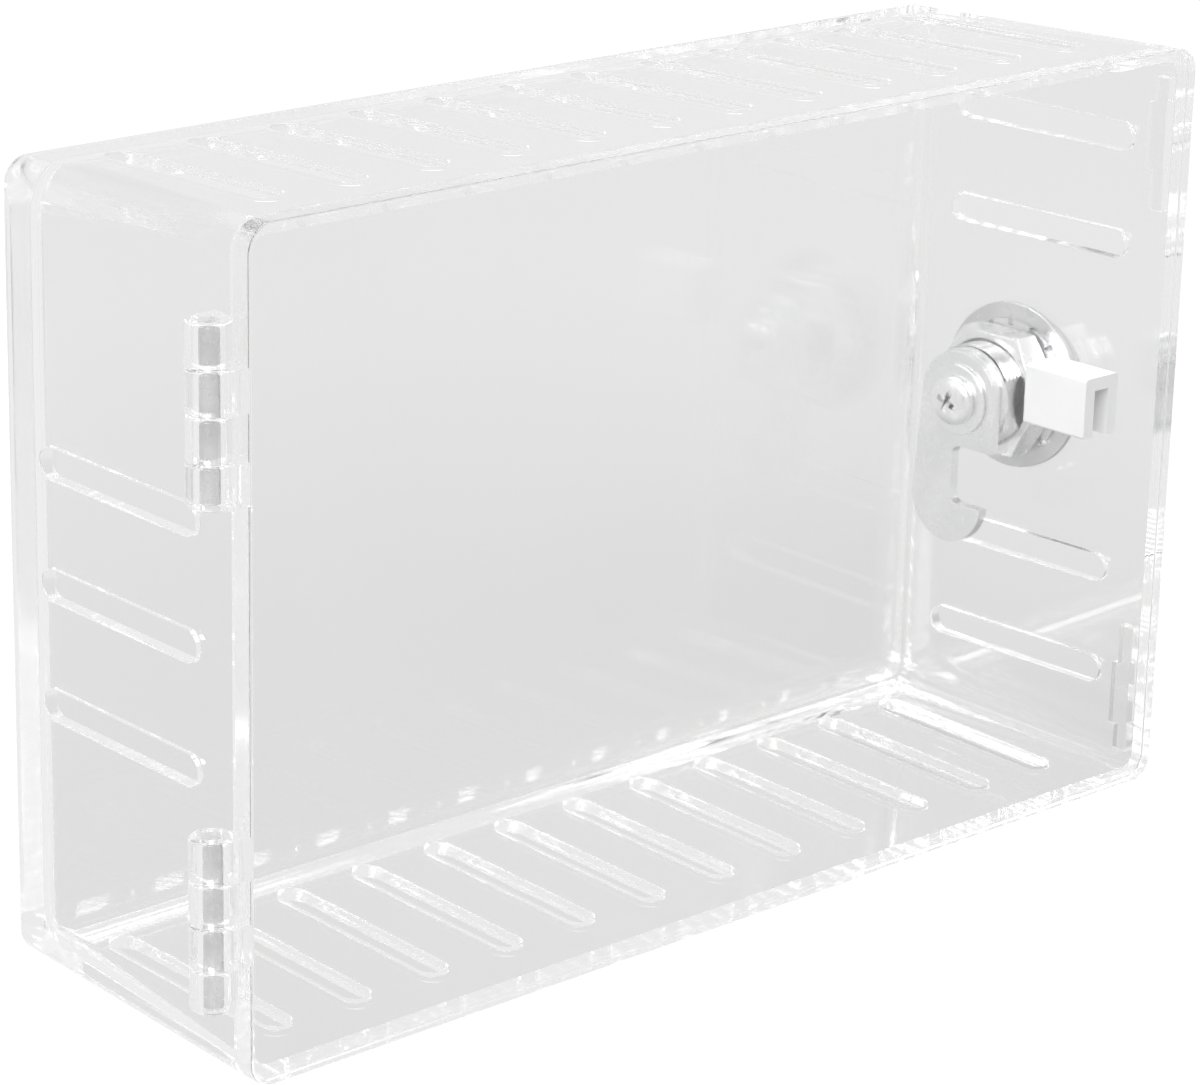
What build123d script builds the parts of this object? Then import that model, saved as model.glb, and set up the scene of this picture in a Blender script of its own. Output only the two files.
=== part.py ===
"""Clear hinged lock box that covers a wall thermostat, shown closed, in millimetres.

Frame: the origin is the centre of the wall plate's outer face.
+X runs to the lock side, +Y away from the wall, +Z up.
"""

import os
from math import cos, radians, sin, sqrt, tan

from build123d import *

os.makedirs("parts", exist_ok=True)

# ---- whole box ----
box_width = 210.0
box_height = 136.0
plate_thickness = 4.0
cover_depth = 59.0
rim_gap = 0.3
wall = 2.5
front_thickness = 3.0
draft_angle = 1.4
corner_radius = 4.5
front_edge_radius = 1.0
front_inner_radius = 7.0
edge_round = 0.4

# ---- ventilation slots ----
slot_width = 5.0
slot_end_margin = 9.2
top_slot_count = 12
top_slot_pitch = 16.2
left_slot_count = 3
left_slot_pitch = 20.0
lock_side_slot_margin = 18.0
lock_side_slot_pitch = 19.5

# ---- hinges ----
hinge_end_margin = 28.0
knuckle_count = 4
knuckle_length = 6.8
knuckle_gap = 0.3
knuckle_radius = 3.7
knuckle_side_gap = 0.35
knuckle_round = 0.5
pin_radius = 1.6
pin_seat_gap = 0.02
pin_running_gap = 0.06
pin_end_recess = 0.6
pin_end_round = 0.4

# ---- locating ribs on the plate, inside the cover's lock side ----
rib_wall_gap = 0.6
rib_end_gap = 2.9
rib_thickness = 2.0
rib_length = 23.9
rib_reach = 2.8
rib_step_margin = 4.6
rib_step_length = 12.0
rib_step_reach = 1.3

# ---- cam lock ----
lock_from_front = 26.7
lock_up = 0.0
seat_gap = 0.05
turning_gap = 0.3
barrel_radius = 9.5
barrel_flat = 8.0
barrel_hole_gap = 0.15
head_radius = 12.5
head_length = 3.6
head_round = 0.8
backing_washer_radius = 15.5
backing_washer_thickness = 1.2
tooth_washer_radius = 12.6
tooth_washer_thickness = 0.9
tooth_count = 16
tooth_depth = 1.1
nut_across_flats = 22.4
nut_thickness = 6.4
nut_chamfer_rise = 0.9
nut_face_share = 0.97
thread_gap = 0.05
barrel_past_nut = 3.9
bore_radius = 6.45
plug_gap = 0.05
plug_head_radius = 8.0
plug_head_length = 1.5
groove_depth = 1.0
groove_side_gap = 0.2
tail_square = 7.0
tail_gap = 0.05
tail_corner = 1.0
stop_thickness = 1.0
stop_radius = 9.2
stop_inner_radius = 6.9
stop_lug_angle = 20.0
stop_swing = 90.0
stop_slack_angle = 1.5
lug_gap = 0.3

# ---- cam plate, in the lock's own plane ----
cam_thickness = 2.0
cam_head_radius = 8.8
cam_head_half_width = 8.3
cam_head_drop = 8.8
cam_arm_edge = 0.8
cam_foot_top = 19.8
cam_foot_radius = 8.2
cam_foot_shift = 1.8
cam_foot_centre_drop = 19.2
cam_inner_round = 1.6
cam_washer_radius = 6.6
cam_washer_thickness = 0.8
screw_radius = 2.0
screw_gap = 0.05
screw_length = 7.0
screw_hole_spare = 0.7
screw_head_radius = 4.6
screw_head_height = 2.6
screw_head_round = 1.5
recess_width = 1.2
recess_length = 4.6
recess_depth = 1.5

# ---- wafers and springs inside the plug ----
wafer_count = 5
wafer_pitch = 2.3
wafer_thickness = 1.0
wafer_slot_gap = 0.08
wafer_half_width = 3.9
wafer_end_gap = 0.1
first_wafer_depth = 5.2
keyway_width = 2.0
keyway_height = 8.0
keyway_spare = 1.2
window_width = 2.7
window_height = 9.2
spring_shoulder = 0.7
spring_seat = 3.7
spring_side = 2.9
spring_radius = 0.5
spring_wire = 0.2
spring_end_gap = 0.05

# ---- catch that the cam swings into ----
catch_wall = 2.4
catch_cam_gap = 0.8
catch_end_wall = 1.2
catch_end_gap = 0.4
catch_bottom = 0.2
catch_height = 11.0
catch_round = 0.6

# ---- places worked out from the sizes ----
half_width = box_width / 2
half_height = box_height / 2
rim_y = plate_thickness + rim_gap
front_y = rim_y + cover_depth
inner_x = half_width - wall
inner_z = half_height - wall
inner_y = front_y - front_thickness
slot_length = cover_depth - 2 * slot_end_margin
slot_middle = rim_y + cover_depth / 2
far_slot_height = half_height - lock_side_slot_margin
near_slot_height = far_slot_height - lock_side_slot_pitch
hinge_height = half_height - hinge_end_margin
pivot_x = -(half_width + knuckle_side_gap + knuckle_radius)
pivot_y = plate_thickness + rim_gap / 2
knuckle_reach = knuckle_radius + knuckle_side_gap
knuckle_step = knuckle_length + knuckle_gap
knuckle_stack = knuckle_count * knuckle_step - knuckle_gap
pin_length = knuckle_stack - 2 * pin_end_recess

rib_x = inner_x - rib_wall_gap - rib_thickness / 2
rib_middle = inner_z - rib_end_gap - rib_length / 2
rib_step_middle = inner_z - rib_end_gap - rib_step_margin - rib_step_length / 2

lean = radians(draft_angle)
lock_out = front_y - lock_from_front
lock_wall_x = half_width - (lock_out - rim_y) * tan(lean)
lock_outward = Vector(cos(lean), sin(lean), 0)
lock_forward = Vector(-sin(lean), cos(lean), 0)

# along the lock's axis, counted outwards from the wall's outer face
backing_at = -wall - seat_gap
tooth_at = backing_at - backing_washer_thickness - seat_gap
nut_at = tooth_at - tooth_washer_thickness - seat_gap
barrel_end_at = nut_at - nut_thickness - barrel_past_nut
head_end_at = seat_gap + head_length
barrel_length = head_end_at - barrel_end_at
stop_at = barrel_end_at - turning_gap
cam_at = stop_at - stop_thickness - seat_gap
cam_washer_at = cam_at - cam_thickness - seat_gap
screw_seat_at = cam_washer_at - cam_washer_thickness - seat_gap
tail_end_at = cam_at - cam_thickness + seat_gap
plug_radius = bore_radius - plug_gap
wafer_radius = plug_radius - wafer_end_gap
barrel_hole_radius = barrel_radius + barrel_hole_gap
barrel_hole_flat = barrel_flat + barrel_hole_gap


def lock_point(place, forward=0.0, up=0.0):
    """A point of the row frame, given along the lock's axis, forward of it and above it."""
    foot = Vector(lock_wall_x, lock_out, lock_up + up)
    return foot + lock_outward * place + lock_forward * forward


def lock_plane(place):
    """Plane across the lock's axis; its x runs away from the wall plate, its y up."""
    return Plane(origin=lock_point(place), x_dir=lock_forward, z_dir=lock_outward)


def knuckle_heights(side):
    """Middle heights of one column of knuckles, from the top one down."""
    top = side * hinge_height + (knuckle_stack - knuckle_length) / 2
    return [top - number * knuckle_step for number in range(knuckle_count)]


def slot_rims(part, axis, end):
    """The edges round the openings of the first or last pierced face along an axis."""
    pierced = part.faces().filter_by(lambda face: len(face.inner_wires()) > 0)
    outer_face = pierced.sort_by(axis)[end]
    return [edge for wire in outer_face.inner_wires() for edge in wire.edges()]


cover_heights = knuckle_heights(1)[0::2] + knuckle_heights(-1)[1::2]
plate_heights = knuckle_heights(1)[1::2] + knuckle_heights(-1)[0::2]

# ---- one knuckle of each leaf, made at the pivot's foot ----
with BuildPart() as cover_knuckle:
    Cylinder(knuckle_radius, knuckle_length)
    fillet(cover_knuckle.edges().filter_by(GeomType.CIRCLE), knuckle_round)
    with Locations((0, rim_gap / 2, -knuckle_length / 2)):
        Box(
            knuckle_reach + wall / 2,
            knuckle_radius - rim_gap / 2,
            knuckle_length,
            align=(Align.MIN, Align.MIN, Align.MIN),
        )

with BuildPart() as plate_knuckle:
    Cylinder(knuckle_radius, knuckle_length)
    fillet(plate_knuckle.edges().filter_by(GeomType.CIRCLE), knuckle_round)
    with Locations((0, -pivot_y, -knuckle_length / 2)):
        Box(
            knuckle_reach + wall,
            plate_thickness,
            knuckle_length,
            align=(Align.MIN, Align.MIN, Align.MIN),
        )

# ---- cover: a deep shell with a moulding draft and slots in four sides ----
rim_plane = Plane(origin=(0, rim_y, 0), x_dir=(1, 0, 0), z_dir=(0, 1, 0))
with BuildPart() as cavity:
    with BuildSketch(rim_plane):
        Rectangle(2 * inner_x, 2 * inner_z)
    extrude(amount=inner_y - rim_y, taper=draft_angle)
    far_face = cavity.faces().sort_by(Axis.Y)[-1]
    fillet(far_face.edges(), front_inner_radius)

with BuildPart() as cover_shell:
    with BuildSketch(rim_plane):
        RectangleRounded(box_width, box_height, corner_radius)
    extrude(amount=cover_depth, taper=draft_angle)
    front_face = cover_shell.faces().sort_by(Axis.Y)[-1]
    fillet(front_face.edges(), front_edge_radius)
    add(cavity.part, mode=Mode.SUBTRACT)
    with Locations(*[(pivot_x, pivot_y, height) for height in cover_heights]):
        add(cover_knuckle.part)
    with BuildSketch(Plane.XY):
        with Locations((0, slot_middle)):
            with GridLocations(top_slot_pitch, 1, top_slot_count, 1):
                SlotOverall(slot_length, slot_width, rotation=90)
    extrude(amount=half_height + 1, both=True, mode=Mode.SUBTRACT)
    fillet(slot_rims(cover_shell, Axis.Z, -1), edge_round)
    fillet(slot_rims(cover_shell, Axis.Z, 0), edge_round)
    with BuildSketch(Plane.YZ):
        with Locations((slot_middle, 0)):
            with GridLocations(1, left_slot_pitch, 1, left_slot_count):
                SlotOverall(slot_length, slot_width)
    extrude(amount=-(half_width + 1), mode=Mode.SUBTRACT)
    fillet(slot_rims(cover_shell, Axis.X, 0), edge_round)
    with BuildSketch(Plane.YZ):
        for height in (near_slot_height, far_slot_height):
            with Locations((slot_middle, height), (slot_middle, -height)):
                SlotOverall(slot_length, slot_width)
    extrude(amount=half_width + 1, mode=Mode.SUBTRACT)
    fillet(slot_rims(cover_shell, Axis.X, -1), edge_round)
    with BuildSketch(lock_plane(-wall - 1)):
        Circle(barrel_hole_radius)
        Rectangle(2 * barrel_hole_flat, 3 * barrel_hole_radius, mode=Mode.INTERSECT)
    extrude(amount=wall + 2, mode=Mode.SUBTRACT)
    for height in cover_heights:
        with Locations((pivot_x, pivot_y, height)):
            Cylinder(pin_radius + pin_running_gap, knuckle_length + 1, mode=Mode.SUBTRACT)

# ---- wall plate with its knuckles and locating ribs ----
with BuildPart() as base_plate:
    with BuildSketch(Plane.XZ):
        RectangleRounded(box_width, box_height, corner_radius)
    extrude(amount=-plate_thickness)
    fillet(base_plate.edges().filter_by(Axis.Y, reverse=True), edge_round)
    with Locations(*[(pivot_x, pivot_y, height) for height in plate_heights]):
        add(plate_knuckle.part)
    for side in (1, -1):
        with Locations((rib_x, plate_thickness, side * rib_middle)):
            Box(
                rib_thickness,
                rib_reach,
                rib_length,
                align=(Align.CENTER, Align.MIN, Align.CENTER),
            )
        with Locations((rib_x, plate_thickness, side * rib_step_middle)):
            Box(
                rib_thickness,
                rib_reach + rib_step_reach,
                rib_step_length,
                align=(Align.CENTER, Align.MIN, Align.CENTER),
            )
    for height in plate_heights:
        with Locations((pivot_x, pivot_y, height)):
            Cylinder(pin_radius + pin_seat_gap, knuckle_length + 1, mode=Mode.SUBTRACT)

# ---- hinge pins ----
with BuildPart() as upper_hinge_pin:
    with Locations((pivot_x, pivot_y, hinge_height)):
        Cylinder(pin_radius, pin_length)
    fillet(upper_hinge_pin.edges().filter_by(GeomType.CIRCLE), pin_end_round)

with BuildPart() as lower_hinge_pin:
    with Locations((pivot_x, pivot_y, -hinge_height)):
        Cylinder(pin_radius, pin_length)
    fillet(lower_hinge_pin.edges().filter_by(GeomType.CIRCLE), pin_end_round)

# ---- catch: a pocket open at its bottom, which the cam's foot swings up into ----
catch_inner_end = lock_out - cam_foot_top + catch_end_gap
catch_end = catch_inner_end + catch_end_wall
catch_cavity_width = cam_thickness + 2 * catch_cam_gap
catch_width = catch_cavity_width + 2 * catch_wall
catch_x = lock_point(cam_at - cam_thickness / 2, -cam_foot_centre_drop).X
with BuildPart() as cam_catch:
    with BuildSketch(Plane.XZ.offset(-plate_thickness)):
        with Locations((catch_x, lock_up + catch_bottom + catch_height / 2)):
            Rectangle(catch_width, catch_height)
    extrude(amount=-(catch_end - plate_thickness))
    outer_edges = cam_catch.edges().filter_by(Axis.Y)
    fillet(outer_edges + cam_catch.faces().sort_by(Axis.Y)[-1].edges(), catch_round)
    with BuildSketch(Plane.XZ.offset(-plate_thickness)):
        with Locations((catch_x, lock_up + catch_bottom + catch_height - catch_wall)):
            Rectangle(
                catch_cavity_width,
                catch_height,
                align=(Align.CENTER, Align.MAX),
            )
    extrude(amount=-(catch_inner_end - plate_thickness), mode=Mode.SUBTRACT)

# ---- lock housing: head outside the wall, flatted barrel through it ----
groove_half_width = wafer_half_width + groove_side_gap
groove_reach = plug_radius + groove_depth
last_wafer_depth = first_wafer_depth + (wafer_count - 1) * wafer_pitch
keyway_depth = last_wafer_depth + keyway_spare
lug_start_angle = 270.0 - stop_lug_angle / 2
with BuildPart() as lock_housing:
    with BuildSketch(lock_plane(barrel_end_at)):
        Circle(barrel_radius)
        Rectangle(2 * barrel_flat, 3 * barrel_radius, mode=Mode.INTERSECT)
    extrude(amount=barrel_length - head_length)
    with BuildSketch(lock_plane(seat_gap)):
        Circle(head_radius)
    extrude(amount=head_length)
    fillet(lock_housing.edges().sort_by(Axis.X)[-1], head_round)
    with BuildSketch(lock_plane(barrel_end_at)):
        Circle(bore_radius)
    extrude(amount=barrel_length, mode=Mode.SUBTRACT)
    with BuildSketch(lock_plane(head_end_at - plug_head_length - turning_gap)):
        Circle(plug_head_radius)
    extrude(amount=plug_head_length + turning_gap, mode=Mode.SUBTRACT)
    with BuildSketch(lock_plane(head_end_at - keyway_depth)):
        Rectangle(2 * groove_half_width, 2 * groove_reach)
        Rectangle(2 * groove_reach, 2 * groove_half_width)
    extrude(amount=keyway_depth - first_wafer_depth + keyway_spare, mode=Mode.SUBTRACT)
    with BuildSketch(lock_plane(barrel_end_at - stop_thickness)):
        with BuildLine():
            lug_outer = CenterArc((0, 0), stop_radius, lug_start_angle, stop_lug_angle)
            lug_inner = CenterArc(
                (0, 0), stop_inner_radius + lug_gap, lug_start_angle, stop_lug_angle
            )
            Line(lug_outer @ 0, lug_inner @ 0)
            Line(lug_outer @ 1, lug_inner @ 1)
        make_face()
    extrude(amount=stop_thickness)

# ---- washers and nut that clamp the lock to the wall ----
with BuildPart() as backing_washer:
    with BuildSketch(lock_plane(backing_at - backing_washer_thickness)):
        Circle(backing_washer_radius)
        Circle(barrel_hole_radius, mode=Mode.SUBTRACT)
    extrude(amount=backing_washer_thickness)

with BuildPart() as tooth_washer:
    with BuildSketch(lock_plane(tooth_at - tooth_washer_thickness)):
        Circle(tooth_washer_radius)
        with PolarLocations(tooth_washer_radius, tooth_count):
            Rectangle(2 * tooth_depth, tooth_depth, mode=Mode.SUBTRACT)
        Circle(barrel_hole_radius, mode=Mode.SUBTRACT)
    extrude(amount=tooth_washer_thickness)

nut_corner_radius = nut_across_flats / sqrt(3)
nut_face_radius = nut_across_flats / 2 * nut_face_share
with BuildPart() as lock_nut:
    with BuildSketch(lock_plane(nut_at - nut_thickness)):
        Circle(nut_corner_radius)
    extrude(amount=nut_thickness)
    chamfer(
        lock_nut.edges().filter_by(GeomType.CIRCLE),
        length=nut_chamfer_rise,
        length2=nut_corner_radius - nut_face_radius,
        reference=lock_nut.faces().filter_by(GeomType.CYLINDER)[0],
    )
    with BuildSketch(lock_plane(nut_at - nut_thickness)):
        RegularPolygon(nut_across_flats / 2, 6, major_radius=False)
    extrude(amount=nut_thickness, mode=Mode.INTERSECT)
    with BuildSketch(lock_plane(nut_at - nut_thickness)):
        Circle(barrel_radius + thread_gap)
    extrude(amount=nut_thickness, mode=Mode.SUBTRACT)

# ---- plug: keyway, wafer slots and the square tail that drives the cam ----
slot_edge = wafer_half_width + wafer_slot_gap
ledge_edge = spring_side - spring_radius - 2 * wafer_slot_gap
shoulder_edge = ledge_edge - wafer_slot_gap
wafer_places = [
    head_end_at - first_wafer_depth - number * wafer_pitch - wafer_thickness / 2
    for number in range(wafer_count)
]
with BuildPart() as lock_plug:
    with BuildSketch(lock_plane(barrel_end_at)):
        Circle(plug_radius)
    extrude(amount=barrel_length)
    with BuildSketch(lock_plane(head_end_at - plug_head_length)):
        Circle(plug_head_radius - plug_gap)
    extrude(amount=plug_head_length)
    with BuildSketch(lock_plane(tail_end_at)):
        RectangleRounded(tail_square, tail_square, tail_corner)
    extrude(amount=barrel_end_at - tail_end_at)
    with BuildSketch(lock_plane(head_end_at - keyway_depth)):
        Rectangle(keyway_width, keyway_height)
    extrude(amount=keyway_depth, mode=Mode.SUBTRACT)
    for place in wafer_places:
        with BuildSketch(lock_plane(place - wafer_slot_gap)):
            with BuildLine():
                Polyline(
                    (-slot_edge, -bore_radius),
                    (ledge_edge, -bore_radius),
                    (ledge_edge, -spring_seat),
                    (slot_edge, -spring_seat),
                    (slot_edge, bore_radius),
                    (-slot_edge, bore_radius),
                    close=True,
                )
            make_face()
        extrude(amount=wafer_thickness + 2 * wafer_slot_gap, mode=Mode.SUBTRACT)
    with BuildSketch(lock_plane(tail_end_at)):
        Circle(screw_radius + screw_gap)
    extrude(amount=screw_length - (tail_end_at - screw_seat_at) + screw_hole_spare, mode=Mode.SUBTRACT)

# ---- wafers and their springs ----
wafers = []
wafer_springs = []
for place in wafer_places:
    with BuildPart() as wafer:
        with BuildSketch(lock_plane(place)):
            Circle(wafer_radius)
            Rectangle(2 * wafer_half_width, 3 * wafer_radius, mode=Mode.INTERSECT)
            Rectangle(window_width, window_height, mode=Mode.SUBTRACT)
            with Locations((shoulder_edge, spring_shoulder)):
                Rectangle(
                    wafer_half_width,
                    2 * wafer_radius,
                    align=(Align.MIN, Align.MAX),
                    mode=Mode.SUBTRACT,
                )
        extrude(amount=wafer_thickness)
    wafers.append(wafer.part)
    spring_length = spring_seat + spring_shoulder - 2 * spring_end_gap
    spring_middle = (spring_shoulder - spring_seat) / 2
    with BuildPart() as wafer_spring:
        with Locations(lock_point(place + wafer_thickness / 2, spring_side, spring_middle)):
            Cylinder(spring_radius, spring_length)
            Cylinder(spring_radius - spring_wire, spring_length, mode=Mode.SUBTRACT)
    wafer_springs.append(wafer_spring.part)

# ---- stop washer: its cut-out meets the housing's lug after the swing ----
cutout_start = lug_start_angle - stop_slack_angle
cutout_sweep = stop_lug_angle + stop_swing + 2 * stop_slack_angle
with BuildPart() as stop_washer:
    with BuildSketch(lock_plane(stop_at - stop_thickness)):
        Circle(stop_radius)
        with BuildLine():
            ring_outer = CenterArc((0, 0), stop_radius + 1, cutout_start, cutout_sweep)
            ring_inner = CenterArc((0, 0), stop_inner_radius, cutout_start, cutout_sweep)
            Line(ring_outer @ 0, ring_inner @ 0)
            Line(ring_outer @ 1, ring_inner @ 1)
        make_face(mode=Mode.SUBTRACT)
        RectangleRounded(
            tail_square + 2 * tail_gap,
            tail_square + 2 * tail_gap,
            tail_corner,
            mode=Mode.SUBTRACT,
        )
    extrude(amount=stop_thickness)

# ---- cam: round-topped head, arm down its far side, foot back towards the plate ----
head_side_rise = sqrt(cam_head_radius**2 - cam_head_half_width**2)
foot_tip = cam_foot_shift - sqrt(
    cam_foot_radius**2 - (cam_foot_top - cam_foot_centre_drop) ** 2
)
foot_side = cam_foot_shift + cam_foot_radius
with BuildPart() as lock_cam:
    with BuildSketch(lock_plane(cam_at - cam_thickness)):
        with BuildLine():
            Line((-cam_head_half_width, head_side_rise), (-cam_head_half_width, -cam_head_drop))
            Line((-cam_head_half_width, -cam_head_drop), (cam_arm_edge, -cam_head_drop))
            Line((cam_arm_edge, -cam_head_drop), (cam_arm_edge, -cam_foot_top))
            Line((cam_arm_edge, -cam_foot_top), (foot_tip, -cam_foot_top))
            ThreePointArc(
                (foot_tip, -cam_foot_top),
                (cam_foot_shift, -cam_foot_centre_drop - cam_foot_radius),
                (foot_side, -cam_foot_centre_drop),
            )
            Line((foot_side, -cam_foot_centre_drop), (cam_head_half_width, head_side_rise))
            ThreePointArc(
                (cam_head_half_width, head_side_rise),
                (0, cam_head_radius),
                (-cam_head_half_width, head_side_rise),
            )
        make_face()
        RectangleRounded(
            tail_square + 2 * tail_gap,
            tail_square + 2 * tail_gap,
            tail_corner,
            mode=Mode.SUBTRACT,
        )
    extrude(amount=cam_thickness)
    across_plate = lock_cam.edges().filter_by(Axis(lock_point(0), lock_outward))
    arm_corners = across_plate.filter_by(
        lambda edge: abs((edge.center() - lock_point(cam_at)).dot(lock_forward) - cam_arm_edge)
        < 0.01
    )
    fillet(arm_corners, cam_inner_round)

with BuildPart() as cam_washer:
    with BuildSketch(lock_plane(cam_washer_at - cam_washer_thickness)):
        Circle(cam_washer_radius)
        Circle(screw_radius + screw_gap, mode=Mode.SUBTRACT)
    extrude(amount=cam_washer_thickness)

with BuildPart() as cam_screw:
    with BuildSketch(lock_plane(screw_seat_at)):
        Circle(screw_radius)
    extrude(amount=screw_length)
    with BuildSketch(lock_plane(screw_seat_at - screw_head_height)):
        Circle(screw_head_radius)
    extrude(amount=screw_head_height)
    fillet(cam_screw.edges().sort_by(Axis.X)[0], screw_head_round)
    with BuildSketch(lock_plane(screw_seat_at - screw_head_height)):
        Rectangle(recess_length, recess_width)
        Rectangle(recess_width, recess_length)
    extrude(amount=recess_depth, mode=Mode.SUBTRACT)

# ---- files ----
nodes = {
    "cover_shell": cover_shell.part,
    "base_plate": base_plate.part,
    "cam_catch": cam_catch.part,
    "upper_hinge_pin": upper_hinge_pin.part,
    "lower_hinge_pin": lower_hinge_pin.part,
    "lock_housing": lock_housing.part,
    "backing_washer": backing_washer.part,
    "tooth_washer": tooth_washer.part,
    "lock_nut": lock_nut.part,
    "lock_plug": lock_plug.part,
    "stop_washer": stop_washer.part,
    "lock_cam": lock_cam.part,
    "cam_washer": cam_washer.part,
    "cam_screw": cam_screw.part,
}
for number, solid in enumerate(wafers, start=1):
    nodes[f"wafer_{number}"] = solid
for number, solid in enumerate(wafer_springs, start=1):
    nodes[f"wafer_spring_{number}"] = solid
for name, solid in nodes.items():
    solid.label = name
    export_step(solid, f"parts/{name}.step")
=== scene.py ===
"""Clear hinged lock box for a wall thermostat, closed, on a white ground. Lengths are in millimetres."""

from math import atan2, cos, degrees, pi, radians, sin, sqrt, tan

import bpy
from mathutils import Matrix, Vector


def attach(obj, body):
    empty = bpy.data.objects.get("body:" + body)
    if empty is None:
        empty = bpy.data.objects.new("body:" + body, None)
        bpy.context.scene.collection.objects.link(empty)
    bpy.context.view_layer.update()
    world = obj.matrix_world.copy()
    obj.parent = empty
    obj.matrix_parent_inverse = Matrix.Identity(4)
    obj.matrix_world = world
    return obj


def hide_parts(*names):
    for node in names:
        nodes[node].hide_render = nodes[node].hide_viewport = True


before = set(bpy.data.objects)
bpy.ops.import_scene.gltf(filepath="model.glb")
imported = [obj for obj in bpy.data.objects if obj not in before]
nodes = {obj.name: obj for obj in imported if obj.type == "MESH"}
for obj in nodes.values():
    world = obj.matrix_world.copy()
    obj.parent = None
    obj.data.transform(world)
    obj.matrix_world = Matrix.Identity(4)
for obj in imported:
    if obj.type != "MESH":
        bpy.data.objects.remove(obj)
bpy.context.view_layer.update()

MM = 0.001
FULL_TURN = 2 * pi

# ---- camera, fitted to the photo's corners and outline ----
picture_width = 1200
picture_height = 1085
focal_length_pixels = 4209.06
principal_x = 456.0
principal_y = 571.84
camera_azimuth = radians(41.177)
camera_elevation = radians(18.545)
camera_roll = radians(0.715)
camera_place = Vector((-467.19, -459.96, 212.56)) * MM

# ---- box ----
box_width = 210.0
box_height = 136.0
plate_thickness = 4.0
rim_y = 4.3
cover_depth = 59.0
wall = 2.5
front_thickness = 3.0
draft = radians(1.4)
corner_radius = 4.5
front_edge_radius = 1.0
front_inner_radius = 7.0
rim_inner_radius = 2.6
plate_edge_round = 0.4
half_width = box_width / 2
half_height = box_height / 2
front_y = rim_y + cover_depth
inner_x = half_width - wall
inner_z = half_height - wall
inner_y = front_y - front_thickness

# ---- slots ----
slot_width = 5.0
slot_length = 40.6
slot_middle = rim_y + cover_depth / 2
slot_outer_round = 0.4
slot_inner_round = 0.3
slot_mouth_share = 1.05
slot_mouth_past = 0.06
slot_cutter_past = 2.0
top_slot_count = 12
top_slot_pitch = 16.2
left_slot_count = 3
left_slot_pitch = 20.0
right_slot_heights = (50.0, 30.5, -30.5, -50.0)

# ---- hinges ----
pivot_x = -109.05
pivot_y = 4.15
hinge_height = 40.0
knuckle_length = 6.8
knuckle_step = 7.1
knuckle_radius = 3.7
knuckle_round = 0.5
arm_inset = 0.03
cover_bore_radius = 1.66
plate_bore_radius = 1.62
upper_heights = [hinge_height + knuckle_step * k for k in (1.5, 0.5, -0.5, -1.5)]
lower_heights = [-hinge_height + knuckle_step * k for k in (1.5, 0.5, -0.5, -1.5)]
cover_knuckles = upper_heights[0::2] + lower_heights[1::2]
bore_past_knuckle = 0.15
plate_knuckles = upper_heights[1::2] + lower_heights[0::2]

# ---- locating ribs on the plate ----
rib_low_x, rib_high_x = 99.9, 101.9
rib_end_z, rib_length, rib_root_y, rib_top_y = 62.6, 23.9, 3.0, 6.8
rib_step_end_z, rib_step_length, rib_step_root_y, rib_step_top_y = 58.0, 12.0, 3.5, 8.1

# ---- hinge pins ----
pin_radius = 1.6
pin_length = 26.9
pin_end_round = 0.4

# ---- cam lock, in the lock's own frame: x away from the plate, y up, z out through the wall ----
lock_out = 36.6
lock_wall_x = half_width - (lock_out - rim_y) * tan(draft)
tool_past = 1.0
backing_at, backing_thickness, backing_radius = -2.55, 1.2, 15.5
backing_bore_gap, washer_edge_round = 0.15, 0.25
nut_at, nut_thickness, nut_across_flats = -4.75, 6.4, 22.4
nut_face_share, nut_chamfer_rise, nut_bore = 0.97, 0.9, 9.55
nut_bore_chamfer, nut_edge_round = 0.5, 0.14
barrel_end, barrel_radius, barrel_flat = -15.05, 9.5, 8.0
thread_pitch, thread_depth = 1.0, 0.45
rod_turns_below, rod_turns_above, rod_into_head = 2.25, 3, 0.6
head_seat, head_end, head_radius, head_round = 0.05, 3.65, 12.5, 0.8
housing_bore, plug_recess_radius, plug_recess_depth = 6.45, 8.0, 1.8
groove_half_width, groove_reach = 4.1, 7.4
groove_near_depth, groove_far_depth = 4, 15.6
cam_at, cam_thickness = -16.4, 2.0
cam_head_radius, cam_head_half_width, cam_head_drop = 8.8, 8.3, 8.8
cam_arm_edge, cam_foot_top, cam_inner_round = 0.8, 19.8, 1.6
cam_foot_radius, cam_foot_shift, cam_foot_drop = 8.2, 1.8, 19.2
cam_hole_half, cam_edge_round = 3.55, 0.28
cam_washer_at, cam_washer_thickness, cam_washer_radius = -18.45, 0.8, 6.6
cam_washer_bore_gap = 0.05
screw_seat, screw_head_height, screw_head_radius, screw_radius = -19.3, 2.6, 4.6, 2.0
screw_end, screw_rim, screw_rim_edge, screw_edge_round = -12.4, 0.7, 0.2, 0.1
recess_half_length, recess_half_width, recess_floor = 2.2, 0.55, -20.5
recess_past, recess_turn, recess_floor_step = 0.5, radians(20), 0.01

# ---- catch ----
catch_low = Vector((83.085, 4.03, 0.2))
catch_high = Vector((91.485, 18.4, 11.2))
catch_round = 0.6
pocket_low = Vector((85.485, 3.5, -1.0))
pocket_high = Vector((89.085, 17.2, 8.8))

# ---- plastics ----
plastic_ior = 1.49
clear_tint_low = (0.965, 0.966, 0.965, 1)
clear_tint_high = (0.975, 0.976, 0.975, 1)
catch_tone_low = (0.88, 0.88, 0.88, 1)
catch_tone_high = (0.92, 0.92, 0.92, 1)


# ---------------------------------------------------------------- modelling
def clear_selection():
    bpy.ops.object.select_all(action="DESELECT")


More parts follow.
